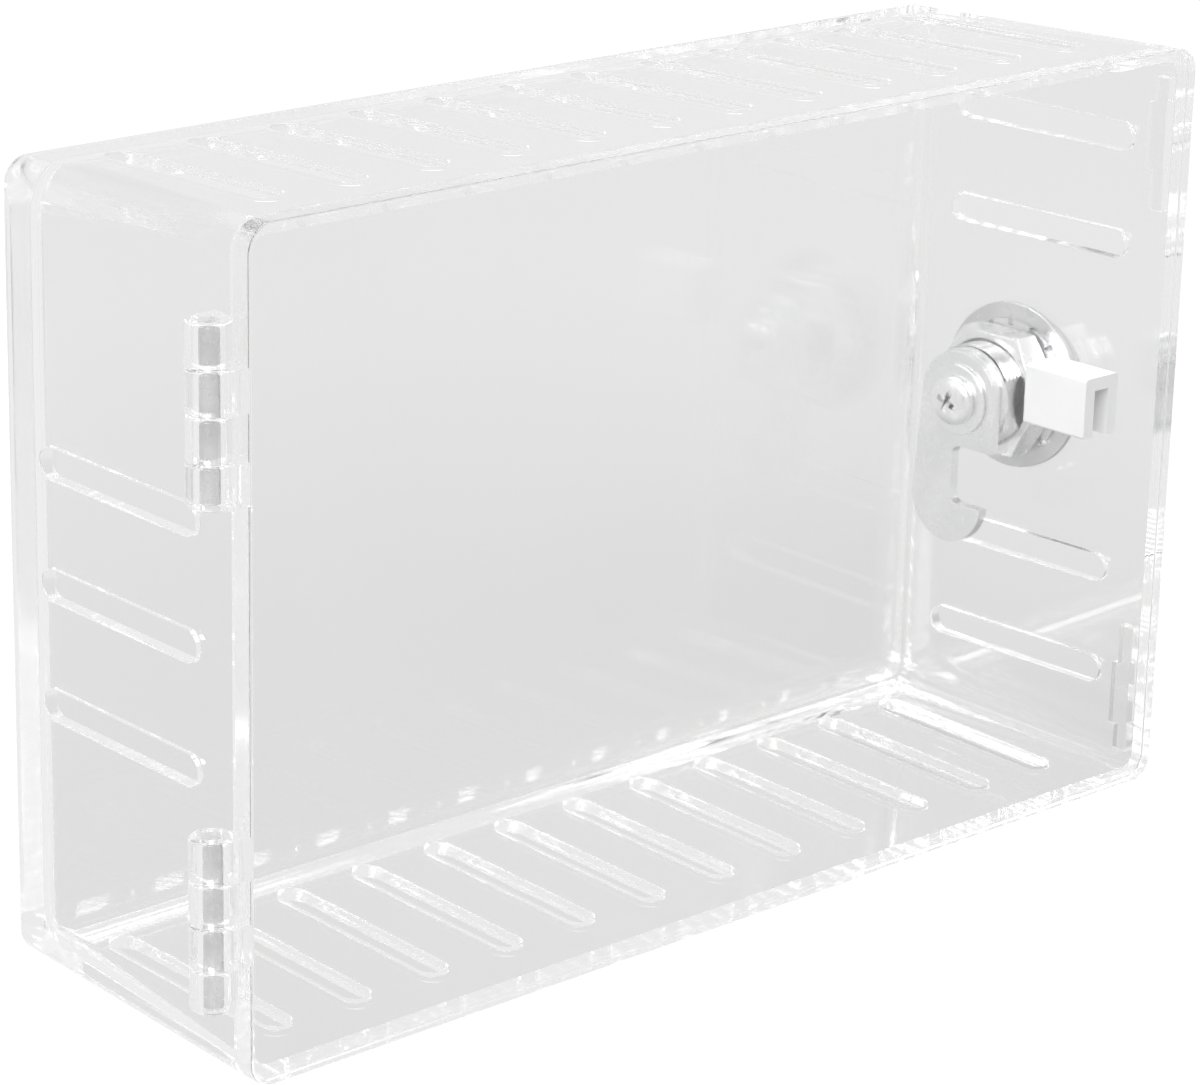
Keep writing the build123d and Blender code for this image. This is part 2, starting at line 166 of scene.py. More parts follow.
def make_active(piece):
    clear_selection()
    piece.select_set(True)
    bpy.context.view_layer.objects.active = piece


def pick(piece, rule):
    """In edit mode, selects the vertices of a piece whose place fits the rule."""
    bpy.ops.mesh.select_mode(type="VERT")
    bpy.ops.object.mode_set(mode="OBJECT")
    mesh = piece.data
    for part in (mesh.vertices, mesh.edges, mesh.polygons):
        part.foreach_set("select", [False] * len(part))
    for vertex in mesh.vertices:
        vertex.select = bool(rule(vertex.co / MM))
    bpy.ops.object.mode_set(mode="EDIT")


def pick_edges(piece, rule):
    """In edit mode, selects the edges whose two ends fit the rule."""
    bpy.ops.mesh.select_mode(type="EDGE")
    bpy.ops.object.mode_set(mode="OBJECT")
    mesh = piece.data
    for part in (mesh.vertices, mesh.edges, mesh.polygons):
        part.foreach_set("select", [False] * len(part))
    for edge in mesh.edges:
        first, second = (mesh.vertices[k].co / MM for k in edge.vertices)
        edge.select = bool(rule(first, second))
    bpy.ops.object.mode_set(mode="EDIT")


def start_edit(piece):
    make_active(piece)
    bpy.ops.object.mode_set(mode="EDIT")
    bpy.ops.mesh.select_mode(type="VERT")


def end_edit():
    bpy.ops.object.mode_set(mode="OBJECT")


def block(name, low, high):
    """A box between two corners, with its place in its mesh."""
    low, high = Vector(low) * MM, Vector(high) * MM
    clear_selection()
    bpy.ops.mesh.primitive_cube_add(size=1, location=(low + high) / 2)
    piece = bpy.context.object
    piece.scale = high - low
    bpy.ops.object.transform_apply(location=True, rotation=True, scale=True)
    piece.name = name
    return piece


def narrow(piece, far_y, near_y, half_x, half_z):
    """Narrows the far end of a box by the moulding draft."""
    inset = (far_y - near_y) * tan(draft)
    start_edit(piece)
    pick(piece, lambda co: co.y > far_y - 0.01)
    bpy.ops.transform.resize(
        value=((half_x - inset) / half_x, 1, (half_z - inset) / half_z),
        center_override=(0, far_y * MM, 0),
    )
    end_edit()


def round_edges(piece, rule, radius, segments):
    start_edit(piece)
    pick_edges(piece, rule)
    bpy.ops.mesh.bevel(offset=radius * MM, segments=segments, affect="EDGES", clamp_overlap=False)
    end_edit()


def lathe(name, profile, steps):
    """A turned solid about Z from (radius, height) points that end on the axis or close."""
    clear_selection()
    bpy.ops.mesh.primitive_plane_add(size=MM)
    piece = bpy.context.object
    piece.name = name
    bpy.ops.object.mode_set(mode="EDIT")
    bpy.ops.mesh.select_mode(type="VERT")
    bpy.ops.mesh.select_all(action="SELECT")
    bpy.ops.mesh.merge(type="CENTER")
    here = Vector((profile[0][0], 0, profile[0][1])) * MM
    bpy.ops.transform.translate(value=here)
    for radius, height in profile[1:]:
        there = Vector((radius, 0, height)) * MM
        bpy.ops.mesh.extrude_region_move(TRANSFORM_OT_translate={"value": there - here})
        here = there
    bpy.ops.mesh.select_all(action="SELECT")
    bpy.ops.mesh.spin(steps=steps, angle=FULL_TURN, center=(0, 0, 0), axis=(0, 0, 1))
    bpy.ops.mesh.select_all(action="SELECT")
    bpy.ops.mesh.remove_doubles(threshold=0.002 * MM)
    bpy.ops.mesh.normals_make_consistent(inside=False)
    end_edit()
    return piece


def place_piece(piece, matrix):
    """Moves a piece and puts its new place in its mesh."""
    make_active(piece)
    piece.matrix_world = matrix
    bpy.ops.object.transform_apply(location=True, rotation=True, scale=True)
    return piece


def copy_piece(piece, name, offset=(0, 0, 0)):
    """A copy with its own mesh, shifted."""
    twin = piece.copy()
    twin.data = piece.data.copy()
    twin.name = name
    bpy.context.scene.collection.objects.link(twin)
    return place_piece(twin, Matrix.Translation(Vector(offset) * MM))


def join_pieces(pieces):
    clear_selection()
    for piece in pieces:
        piece.select_set(True)
    bpy.context.view_layer.objects.active = pieces[0]
    bpy.ops.object.join()
    return pieces[0]


def combine(piece, tool, operation):
    """Exact boolean of a piece with a tool, which is then thrown away."""
    make_active(piece)
    modifier = piece.modifiers.new("combine", "BOOLEAN")
    modifier.operation = operation
    modifier.solver = "EXACT"
    modifier.object = tool
    bpy.ops.object.modifier_apply(modifier="combine")
    bpy.data.objects.remove(tool, do_unlink=True)


def tidy(piece, angle=32.0):
    """Merges doubles, drops empty faces and shades the piece smooth up to an angle."""
    start_edit(piece)
    bpy.ops.mesh.select_all(action="SELECT")
    bpy.ops.mesh.remove_doubles(threshold=0.002 * MM)
    bpy.ops.mesh.dissolve_degenerate(threshold=0.002 * MM)
    end_edit()
    bpy.ops.object.shade_smooth_by_angle(angle=radians(angle))
    weighted = piece.modifiers.new("flat faces", "WEIGHTED_NORMAL")
    weighted.keep_sharp = True
    weighted.weight = 100
    bpy.ops.object.modifier_apply(modifier="flat faces")


# ---------------------------------------------------------------- clear pieces
def slot_cutter():
    """A long hole along Y whose ends flare at z = 0 (outside) and z = -wall (inside)."""
    radius = slot_width / 2
    inner = [(radius + slot_inner_round * slot_mouth_share, -wall - slot_mouth_past)]
    for angle in (72, 48, 24, 0):
        turn = radians(angle)
        height = -wall + slot_inner_round * (1 - sin(turn))
        inner.append((radius + slot_inner_round * (1 - cos(turn)), height))
    outer = []
    for angle in (0, 18, 36, 54, 72):
        turn = radians(angle)
        outer.append((radius + slot_outer_round * (1 - cos(turn)), -slot_outer_round * (1 - sin(turn))))
    outer.append((radius + slot_outer_round * slot_mouth_share, slot_mouth_past))
    start, end = -wall - slot_cutter_past, slot_cutter_past
    profile = [(0, start), (inner[0][0], start)] + inner + outer + [(outer[-1][0], end), (0, end)]
    cutter = lathe("slot cutter", profile, 36)
    place_piece(cutter, Matrix.Rotation(radians(5), 4, "Z"))
    start_edit(cutter)
    for side in (1, -1):
        pick(cutter, lambda co: co.y * side > 0.001 or (abs(co.x) < 0.001 and abs(co.y) < 0.001 and side > 0))
        bpy.ops.transform.translate(value=(0, side * (slot_length - slot_width) / 2 * MM, 0))
    end_edit()
    return cutter


def wall_matrix(outward, half_size, along):
    """Puts the slot cutter on a drafted wall that faces outward, at a place along it."""
    middle_inset = (slot_middle - rim_y) * tan(draft)
    lean = Matrix.Rotation(draft, 4, outward.cross(Vector((0, 1, 0))))
    side = Vector((0, 1, 0)).cross(outward)
    turn = Matrix((side, Vector((0, 1, 0)), outward)).transposed().to_4x4()
    place = outward * (half_size - middle_inset) + along + Vector((0, slot_middle, 0))
    return Matrix.Translation(place * MM) @ lean @ turn


def all_slots():
    """Every vent slot's cutter in one object."""
    pattern = slot_cutter()
    up, left, right = Vector((0, 0, 1)), Vector((-1, 0, 0)), Vector((1, 0, 0))
    places = []
    for number in range(top_slot_count):
        across = (number - (top_slot_count - 1) / 2) * top_slot_pitch
        places.append(wall_matrix(up, half_height, Vector((across, 0, 0))))
        places.append(wall_matrix(-up, half_height, Vector((across, 0, 0))))
    for number in range(left_slot_count):
        height = (number - (left_slot_count - 1) / 2) * left_slot_pitch
        places.append(wall_matrix(left, half_width, Vector((0, 0, height))))
    for height in right_slot_heights:
        places.append(wall_matrix(right, half_width, Vector((0, 0, height))))
    cutters = []
    for number, matrix in enumerate(places):
        cutters.append(place_piece(copy_piece(pattern, f"slot {number}"), matrix))
    bpy.data.objects.remove(pattern, do_unlink=True)
    return join_pieces(cutters)


def knuckle(name, height, bore_radius, arm_low, arm_high):
    """One hinge knuckle with its square arm and its bore."""
    half, edge = knuckle_length / 2, knuckle_round
    profile = [(0, -half)]
    for angle in (-90, -60, -30, 0):
        turn = radians(angle)
        profile.append((knuckle_radius - edge + edge * cos(turn), -half + edge + edge * sin(turn)))
    for angle in (0, 30, 60, 90):
        turn = radians(angle)
        profile.append((knuckle_radius - edge + edge * cos(turn), half - edge + edge * sin(turn)))
    profile.append((0, half))
    barrel = lathe(name, profile, 48)
    place_piece(barrel, Matrix.Translation(Vector((pivot_x, pivot_y, height)) * MM))
    arm = block("arm", (*arm_low, height - half), (*arm_high, height + half))
    combine(barrel, arm, "UNION")
    return barrel


def bore_cutter(heights, radius):
    cutters = []
    for height in heights:
        top = height + knuckle_length / 2 + bore_past_knuckle
        bottom = height - knuckle_length / 2 - bore_past_knuckle
        cutter = lathe("bore", [(0, bottom), (radius, bottom), (radius, top), (0, top)], 40)
        cutters.append(place_piece(cutter, Matrix.Translation(Vector((pivot_x, pivot_y, 0)) * MM)))
    return join_pieces(cutters)


def is_depth_edge(first, second):
    return abs(first.y - second.y) > 20


def make_cover():
    """The deep cover: drafted walls, ball-rounded inside corners, vent slots and its knuckles."""
    cover = block("clear_cover", (-half_width, rim_y, -half_height), (half_width, front_y, half_height))
    narrow(cover, front_y, rim_y, half_width, half_height)
    round_edges(cover, is_depth_edge, corner_radius, 10)
    round_edges(cover, lambda a, b: min(a.y, b.y) > front_y - 0.01, front_edge_radius, 4)

    start_y = rim_y - 1
    grow = tan(draft)
    start_x, start_z = inner_x + grow, inner_z + grow
    cavity = block("cavity", (-start_x, start_y, -start_z), (start_x, inner_y, start_z))
    narrow(cavity, inner_y, start_y, start_x, start_z)
    radius = front_inner_radius
    round_edges(cavity, lambda a, b: max(a.y, b.y) > inner_y - 0.01, radius, 14)
    start_edit(cavity)
    share = rim_inner_radius / radius
    for x_side in (1, -1):
        for z_side in (1, -1):
            pick(
                cavity,
                lambda co: co.y < start_y + 0.01
                and co.x * x_side > start_x - radius - 0.2
                and co.z * z_side > start_z - radius - 0.2,
            )
            bpy.ops.transform.resize(
                value=(share, 1, share),
                center_override=(x_side * start_x * MM, start_y * MM, z_side * start_z * MM),
            )
    end_edit()
    combine(cover, cavity, "DIFFERENCE")
    combine(cover, all_slots(), "DIFFERENCE")
    for number, height in enumerate(cover_knuckles):
        leaf = knuckle(
            f"leaf {number}", height, cover_bore_radius,
            (pivot_x, rim_y + arm_inset), (-half_width + wall / 2, pivot_y + knuckle_radius),
        )
        combine(cover, leaf, "UNION")
    combine(cover, bore_cutter(cover_knuckles, cover_bore_radius), "DIFFERENCE")
    tidy(cover)
    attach(cover, "cover")
    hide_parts("cover_shell")
    return cover


def make_plate():
    """The wall plate with rounded edges, two stepped ribs and its knuckles."""
    plate = block("clear_plate", (-half_width, 0, -half_height), (half_width, plate_thickness, half_height))
    round_edges(plate, lambda a, b: abs(a.y - b.y) > 3, corner_radius, 10)
    edge = plate_edge_round
    round_edges(plate, lambda a, b: abs(a.y - b.y) < 0.01, edge, 3)
    for side in (1, -1):
        ends = sorted((side * rib_end_z, side * (rib_end_z - rib_length)))
        rib = block("rib", (rib_low_x, rib_root_y, ends[0]), (rib_high_x, rib_top_y, ends[1]))
        ends = sorted((side * rib_step_end_z, side * (rib_step_end_z - rib_step_length)))
        step = block("step", (rib_low_x, rib_step_root_y, ends[0]), (rib_high_x, rib_step_top_y, ends[1]))
        combine(rib, step, "UNION")
        combine(plate, rib, "UNION")
    for number, height in enumerate(plate_knuckles):
        leaf = knuckle(
            f"leaf {number}", height, plate_bore_radius,
            (pivot_x, arm_inset), (-half_width + wall, plate_thickness - arm_inset),
        )
        combine(plate, leaf, "UNION")
    combine(plate, bore_cutter(plate_knuckles, plate_bore_radius), "DIFFERENCE")
    tidy(plate)
    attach(plate, "base")
    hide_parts("base_plate")
    return plate


# ---------------------------------------------------------------- lock, pins and catch
def lock_frame():
    """Matrix from the lock's own frame to the row frame."""
    outward = Vector((cos(draft), sin(draft), 0))
    forward = Vector((-sin(draft), cos(draft), 0))
    turn = Matrix((forward, Vector((0, 0, 1)), outward)).transposed().to_4x4()
    return Matrix.Translation(Vector((lock_wall_x, lock_out, 0)) * MM) @ turn


def arc(middle, radius, start, end, steps):
    """Points of an arc, in degrees."""
    points = []
    for step in range(steps + 1):
        angle = radians(start + (end - start) * step / steps)
        points.append((middle[0] + radius * cos(angle), middle[1] + radius * sin(angle)))
    return points


def ring_profile(inner, outer, low, high, edge):
    """Closed profile of a flat ring with rounded outer edges."""
    profile = [(inner, low)]
    profile += arc((outer - edge, low + edge), edge, -90, 0, 3)
    profile += arc((outer - edge, high - edge), edge, 0, 90, 3)
    profile += [(inner, high), (inner, low)]
    return profile


def soften(piece, width, segments=2, angle=28.0):
    """Small rounds on every sharp edge."""
    make_active(piece)
    bevel = piece.modifiers.new("soften", "BEVEL")
    bevel.width = width * MM
    bevel.segments = segments
    bevel.limit_method = "ANGLE"
    bevel.angle_limit = radians(angle)
    bpy.ops.object.modifier_apply(modifier="soften")


def flat_piece(name, outline, low, thickness):
    """A flat plate from an outline in the XY plane, its lower face at a height."""
    clear_selection()
    bpy.ops.mesh.primitive_plane_add(size=MM)
    piece = bpy.context.object
    piece.name = name
    bpy.ops.object.mode_set(mode="EDIT")
    bpy.ops.mesh.select_mode(type="VERT")
    bpy.ops.mesh.select_all(action="SELECT")
    bpy.ops.mesh.merge(type="CENTER")
    here = Vector((*outline[0], low)) * MM
    bpy.ops.transform.translate(value=here)
    for point in outline[1:] + outline[:1]:
        there = Vector((*point, low)) * MM
        bpy.ops.mesh.extrude_region_move(TRANSFORM_OT_translate={"value": there - here})
        here = there
    bpy.ops.mesh.select_all(action="SELECT")
    bpy.ops.mesh.remove_doubles(threshold=0.002 * MM)
    bpy.ops.mesh.select_all(action="SELECT")
    bpy.ops.mesh.edge_face_add()
    bpy.ops.mesh.extrude_region_move(TRANSFORM_OT_translate={"value": (0, 0, thickness * MM)})
    bpy.ops.mesh.select_all(action="SELECT")
    bpy.ops.mesh.normals_make_consistent(inside=False)
    end_edit()
    return piece


def threaded_rod():
    """A helical thread from below the barrel's end up to the head, cut flat at both ends and both sides."""
    clear_selection()
    bpy.ops.mesh.primitive_plane_add(size=MM)
    rod = bpy.context.object
    rod.name = "rod"
    bpy.ops.object.mode_set(mode="EDIT")
    bpy.ops.mesh.select_mode(type="VERT")
    bpy.ops.mesh.select_all(action="SELECT")
    bpy.ops.mesh.merge(type="CENTER")
    start = barrel_end - rod_turns_below * thread_pitch
    count = 2 * int((head_seat + rod_turns_above * thread_pitch - start) / thread_pitch)
    here = Vector((barrel_radius, 0, start)) * MM
    bpy.ops.transform.translate(value=here)
    for step in range(1, count + 1):
        radius = barrel_radius - thread_depth * (step % 2)
        there = Vector((radius, 0, start + step * thread_pitch / 2)) * MM
        bpy.ops.mesh.extrude_region_move(TRANSFORM_OT_translate={"value": there - here})
        here = there
    end_edit()
    screw = rod.modifiers.new("thread", "SCREW")
    screw.axis = "Z"
    screw.angle = FULL_TURN
    screw.screw_offset = thread_pitch * MM
    screw.steps = 64
    screw.render_steps = 64
    screw.use_merge_vertices = False
    bpy.ops.object.modifier_apply(modifier="thread")
    start_edit(rod)
    bpy.ops.mesh.select_all(action="SELECT")
    bpy.ops.mesh.remove_doubles(threshold=0.004 * MM)
    cuts = (
        ((0, 0, barrel_end), (0, 0, -1)),
        ((0, 0, head_seat + rod_into_head), (0, 0, 1)),
        ((barrel_flat, 0, 0), (1, 0, 0)),
        ((-barrel_flat, 0, 0), (-1, 0, 0)),
    )
    for place, outward in cuts:
        bpy.ops.mesh.select_all(action="SELECT")
        bpy.ops.mesh.bisect(
            plane_co=Vector(place) * MM, plane_no=outward, use_fill=True, clear_outer=True
        )
    bpy.ops.mesh.select_all(action="SELECT")
    bpy.ops.mesh.normals_make_consistent(inside=False)
    end_edit()
    return rod


def make_housing():
    """The lock's head and its threaded, flatted barrel with the plug's bore."""
    edge = head_round
    profile = [(0, head_seat), (head_radius, head_seat)]
    profile += arc((head_radius - edge, head_end - edge), edge, 0, 90, 5)
    profile += [(0, head_end)]
    housing = lathe("housing", profile, 72)
    combine(housing, threaded_rod(), "UNION")
    recess_low = head_end - plug_recess_depth
    bore = lathe(
        "bore",
        [
            (0, barrel_end - tool_past), (housing_bore, barrel_end - tool_past),
            (housing_bore, recess_low), (plug_recess_radius, recess_low),
            (plug_recess_radius, head_end + tool_past), (0, head_end + tool_past),
        ],
        56,
    )
    combine(housing, bore, "DIFFERENCE")
    for half_x, half_y in ((groove_half_width, groove_reach), (groove_reach, groove_half_width)):
        low, high = head_end - groove_far_depth, head_end - groove_near_depth
        combine(housing, block("groove", (-half_x, -half_y, low), (half_x, half_y, high)), "DIFFERENCE")
    tidy(housing, 25.0)
    place_piece(housing, lock_frame())
    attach(housing, "cover")
    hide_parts("lock_housing")
    return housing


def make_nut():
    """The hexagon nut: corners cut by a cone at both faces, edges a little rounded."""
    corner = nut_across_flats / sqrt(3)
    low = nut_at - nut_thickness
    outline = [(corner * cos(radians(60 * k)), corner * sin(radians(60 * k))) for k in range(6)]
    nut = flat_piece("nut", outline, low, nut_thickness)
    face = nut_across_flats / 2 * nut_face_share
    rise = nut_chamfer_rise
    cone = lathe(
        "cone",
        [(0, low - 0.01), (face, low - 0.01), (corner + 0.01, low + rise),
         (corner + 0.01, nut_at - rise), (face, nut_at + 0.01), (0, nut_at + 0.01)],
        96,
    )
    combine(nut, cone, "INTERSECT")
    chamfer = nut_bore_chamfer
    mouth = nut_bore + chamfer + tool_past
    bore = lathe(
        "bore",
        [(0, low - tool_past), (mouth, low - tool_past), (nut_bore, low + chamfer),
         (nut_bore, nut_at - chamfer), (mouth, nut_at + tool_past), (0, nut_at + tool_past)],
        72,
    )
    combine(nut, bore, "DIFFERENCE")
    soften(nut, nut_edge_round)
    tidy(nut, 30.0)
    place_piece(nut, lock_frame())
    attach(nut, "cover")
    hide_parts("lock_nut")
    return nut


def make_backing_washer():
    profile = ring_profile(
        barrel_radius + backing_bore_gap, backing_radius,
        backing_at - backing_thickness, backing_at, washer_edge_round,
    )
    washer = lathe("backing_washer_face", profile, 96)
    tidy(washer)
    place_piece(washer, lock_frame())
    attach(washer, "cover")
    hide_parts("backing_washer")
    return washer


def cam_outline():
    """The cam's outline: round top, arm down its far side, foot turned back to the plate."""
    half, round_in = cam_head_half_width, cam_inner_round
    side_rise = sqrt(cam_head_radius**2 - half**2)
    side_angle = degrees(atan2(side_rise, half))
    foot_tip_rise = cam_foot_drop - cam_foot_top
    tip_angle = 180 - degrees(atan2(foot_tip_rise, sqrt(cam_foot_radius**2 - foot_tip_rise**2)))
    points = [(-half, -cam_head_drop)]
    points += arc((cam_arm_edge - round_in, -cam_head_drop - round_in), round_in, 90, 0, 5)
    points += arc((cam_arm_edge - round_in, -cam_foot_top + round_in), round_in, 0, -90, 5)
    points += arc((cam_foot_shift, -cam_foot_drop), cam_foot_radius, tip_angle, 360, 28)
    points += arc((0, 0), cam_head_radius, side_angle, 180 - side_angle, 24)
    return points


def make_cam():
    cam = flat_piece("cam", cam_outline(), cam_at - cam_thickness, cam_thickness)
    half = cam_hole_half
    low, high = cam_at - cam_thickness - tool_past, cam_at + tool_past
    hole = block("hole", (-half, -half, low), (half, half, high))
    combine(cam, hole, "DIFFERENCE")
    soften(cam, cam_edge_round, 3)
    tidy(cam, 30.0)
    place_piece(cam, lock_frame())
    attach(cam, "plug")
    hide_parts("lock_cam")
    return cam


def make_cam_washer():
    profile = ring_profile(
        screw_radius + cam_washer_bore_gap, cam_washer_radius,
        cam_washer_at - cam_washer_thickness, cam_washer_at, washer_edge_round,
    )
    washer = lathe("cam_washer_face", profile, 64)
    tidy(washer)
    place_piece(washer, lock_frame())
    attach(washer, "plug")
    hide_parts("cam_washer")
    return washer


def make_screw():
    """Domed screw head with a cross recess."""
    rim_at = screw_seat - screw_rim
    dome = screw_head_height - screw_rim
    profile = [(0, screw_end), (screw_radius, screw_end), (screw_radius, screw_seat)]
    profile.append((screw_head_radius - screw_rim_edge, screw_seat))
    profile.append((screw_head_radius, screw_seat - screw_rim_edge))
    for angle in range(0, 90, 9):
        turn = radians(angle)
        profile.append((screw_head_radius * cos(turn), rim_at - dome * sin(turn)))
    profile.append((0, rim_at - dome))
    screw = lathe("screw", profile, 56)
    top = screw_seat - screw_head_height - recess_past
    long_half, short_half = recess_half_length, recess_half_width
    cross = block("cross", (-long_half, -short_half, top), (long_half, short_half, recess_floor))
    other_floor = recess_floor + recess_floor_step
    other = block("other", (-short_half, -long_half, top), (short_half, long_half, other_floor))
    combine(cross, other, "UNION")
    place_piece(cross, Matrix.Rotation(recess_turn, 4, "Z"))
    combine(screw, cross, "DIFFERENCE")
    soften(screw, screw_edge_round, 2, 35.0)
    tidy(screw, 35.0)
    place_piece(screw, lock_frame())
    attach(screw, "plug")
    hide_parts("cam_screw")
    return screw


def make_catch():
    """The moulded catch with its pocket, a hair off the plate."""
    catch = block("catch", catch_low, catch_high)
    round_edges(catch, lambda a, b: max(a.y, b.y) > catch_low.y + 1, catch_round, 4)
    combine(catch, block("pocket", pocket_low, pocket_high), "DIFFERENCE")
    tidy(catch)
    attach(catch, "base")
    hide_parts("cam_catch")
    return catch


def make_pins():
    """Both hinge pins, one turned and copied."""
    half, edge = pin_length / 2, pin_end_round
    profile = [(0, -half)] + arc((pin_radius - edge, -half + edge), edge, -90, 0, 4)
    profile += arc((pin_radius - edge, half - edge), edge, 0, 90, 4) + [(0, half)]
    lower = lathe("lower_pin", profile, 48)
    tidy(lower)
    place_piece(lower, Matrix.Translation(Vector((pivot_x, pivot_y, -hinge_height)) * MM))
    upper = copy_piece(lower, "upper_pin", (0, 0, 2 * hinge_height))
    for pin, node in ((lower, "lower_hinge_pin"), (upper, "upper_hinge_pin")):
        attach(pin, "base")
        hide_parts(node)
    return lower, upper


# ---------------------------------------------------------------- materials
def new_material(name):
    """An empty node material with its output node."""
    material = bpy.data.materials.new(name)
    material.use_nodes = True
    material.node_tree.nodes.clear()
    output = material.node_tree.nodes.new("ShaderNodeOutputMaterial")
    return material, material.node_tree, output


def new_group(name, inputs):
    """A shader group with surface outputs; inputs are (name, socket type, value)."""
    tree = bpy.data.node_groups.new(name, "ShaderNodeTree")
    for label, kind, value in inputs:
        socket = tree.interface.new_socket(label, in_out="INPUT", socket_type=kind)
        socket.default_value = value
    for label, kind in (
        ("Base Color", "NodeSocketColor"), ("Roughness", "NodeSocketFloat"), ("Normal", "NodeSocketVector")
    ):
        tree.interface.new_socket(label, in_out="OUTPUT", socket_type=kind)
    return tree, tree.nodes.new("NodeGroupInput"), tree.nodes.new("NodeGroupOutput")


def noise(tree, scale, detail, stretch=None):
    """Noise in the piece's own place, its sides stretched by a vector socket if one is given."""
    place = tree.nodes.new("ShaderNodeTexCoord")
    texture = tree.nodes.new("ShaderNodeTexNoise")
    texture.inputs["Scale"].default_value = scale
    texture.inputs["Detail"].default_value = detail
    if stretch is None:
        tree.links.new(place.outputs["Object"], texture.inputs["Vector"])
        return texture
    multiply = tree.nodes.new("ShaderNodeVectorMath")
    multiply.operation = "MULTIPLY"
    tree.links.new(place.outputs["Object"], multiply.inputs[0])
    tree.links.new(stretch, multiply.inputs[1])
    tree.links.new(multiply.outputs[0], texture.inputs["Vector"])
    return texture


def spread(tree, value, low, high):
    """Maps noise, about 0.35 to 0.65, to a range given by numbers or sockets."""
    ranged = tree.nodes.new("ShaderNodeMapRange")
    ranged.inputs["From Min"].default_value = 0.35
    ranged.inputs["From Max"].default_value = 0.65
    for label, end in (("To Min", low), ("To Max", high)):
        if isinstance(end, (int, float)):
            ranged.inputs[label].default_value = end
        else:
            tree.links.new(end, ranged.inputs[label])
    tree.links.new(value, ranged.inputs["Value"])
    return ranged.outputs["Result"]


def mixed_colour(tree, factor, first, second):
    mix = tree.nodes.new("ShaderNodeMix")
    mix.data_type = "RGBA"
    tree.links.new(factor, mix.inputs["Factor"])
    for label, colour in (("A", first), ("B", second)):
        socket = next(s for s in mix.inputs if s.name == label and s.type == "RGBA")
        if isinstance(colour, tuple):
            socket.default_value = colour
        else:
            tree.links.new(colour, socket)
    return next(s for s in mix.outputs if s.type == "RGBA")


def bumped(tree, height, strength, depth):
    bump = tree.nodes.new("ShaderNodeBump")
    bump.inputs["Strength"].default_value = strength
    bump.inputs["Distance"].default_value = depth
    tree.links.new(height, bump.inputs["Height"])
    return bump.outputs["Normal"]


def polished_group():
    """Clear moulded plastic: slow waves, fine wear in the gloss, a faint change of tint."""
    tree, _, end = new_group("polished plastic", ())
    slow = noise(tree, 14.0, 2.0)
    fine = noise(tree, 420.0, 4.0)
    tint = mixed_colour(tree, spread(tree, slow.outputs["Fac"], 0.0, 1.0), clear_tint_low, clear_tint_high)
    tree.links.new(tint, end.inputs["Base Color"])
    tree.links.new(spread(tree, fine.outputs["Fac"], 0.015, 0.045), end.inputs["Roughness"])
    tree.links.new(bumped(tree, slow.outputs["Fac"], 0.05, 0.0004), end.inputs["Normal"])
    return tree


def metal_group():
    """Metal with drawn or rolled grain: gloss and a fine relief follow the grain, the colour changes in broad
    blotches.
    """
    tree, start, end = new_group(
        "metal finish",
        (
            ("Colour", "NodeSocketColor", (0.7, 0.7, 0.7, 1)),
            ("Worn Colour", "NodeSocketColor", (0.6, 0.6, 0.6, 1)),
            ("Smoothest", "NodeSocketFloat", 0.15),
            ("Roughest", "NodeSocketFloat", 0.3),
            ("Grain", "NodeSocketVector", (1, 1, 1)),
        ),
    )
    grain = noise(tree, 260.0, 5.0, start.outputs["Grain"])
    blotch = noise(tree, 90.0, 3.0)
    share = spread(tree, blotch.outputs["Fac"], 0.0, 1.0)
    colour = mixed_colour(tree, share, start.outputs["Colour"], start.outputs["Worn Colour"])
    tree.links.new(colour, end.inputs["Base Color"])
    gloss = spread(tree, grain.outputs["Fac"], start.outputs["Smoothest"], start.outputs["Roughest"])
    tree.links.new(gloss, end.inputs["Roughness"])
    tree.links.new(bumped(tree, grain.outputs["Fac"], 0.12, 0.00004), end.inputs["Normal"])
    return tree


def moulded_group():
    """Opaque moulded plastic with a fine grain."""
    tree, _, end = new_group("moulded plastic", ())
    fine = noise(tree, 1400.0, 3.0)
    broad = noise(tree, 60.0, 2.0)
    tone = mixed_colour(tree, spread(tree, broad.outputs["Fac"], 0.0, 1.0), catch_tone_low, catch_tone_high)
    tree.links.new(tone, end.inputs["Base Color"])
    tree.links.new(spread(tree, fine.outputs["Fac"], 0.36, 0.5), end.inputs["Roughness"])
    tree.links.new(bumped(tree, fine.outputs["Fac"], 0.1, 0.00003), end.inputs["Normal"])
    return tree


def use_group(tree, group, shader):
    """Feeds a principled shader from a surface group."""
    node = tree.nodes.new("ShaderNodeGroup")
    node.node_tree = group
    for label in ("Base Color", "Roughness", "Normal"):
        tree.links.new(node.outputs[label], shader.inputs[label])
    return node


def clear_material(group):
    """Clear plastic; lamps shine straight through it, as they would through thin walls."""
    material, tree, output = new_material("clear plastic")
    plastic = tree.nodes.new("ShaderNodeBsdfPrincipled")
    plastic.inputs["Transmission Weight"].default_value = 1.0
    plastic.inputs["IOR"].default_value = plastic_ior
    use_group(tree, group, plastic)
    see_through = tree.nodes.new("ShaderNodeBsdfTransparent")
    light_path = tree.nodes.new("ShaderNodeLightPath")
    mix = tree.nodes.new("ShaderNodeMixShader")
    tree.links.new(light_path.outputs["Is Shadow Ray"], mix.inputs[0])
    tree.links.new(plastic.outputs[0], mix.inputs[1])
    tree.links.new(see_through.outputs[0], mix.inputs[2])
    tree.links.new(mix.outputs[0], output.inputs["Surface"])
    return material


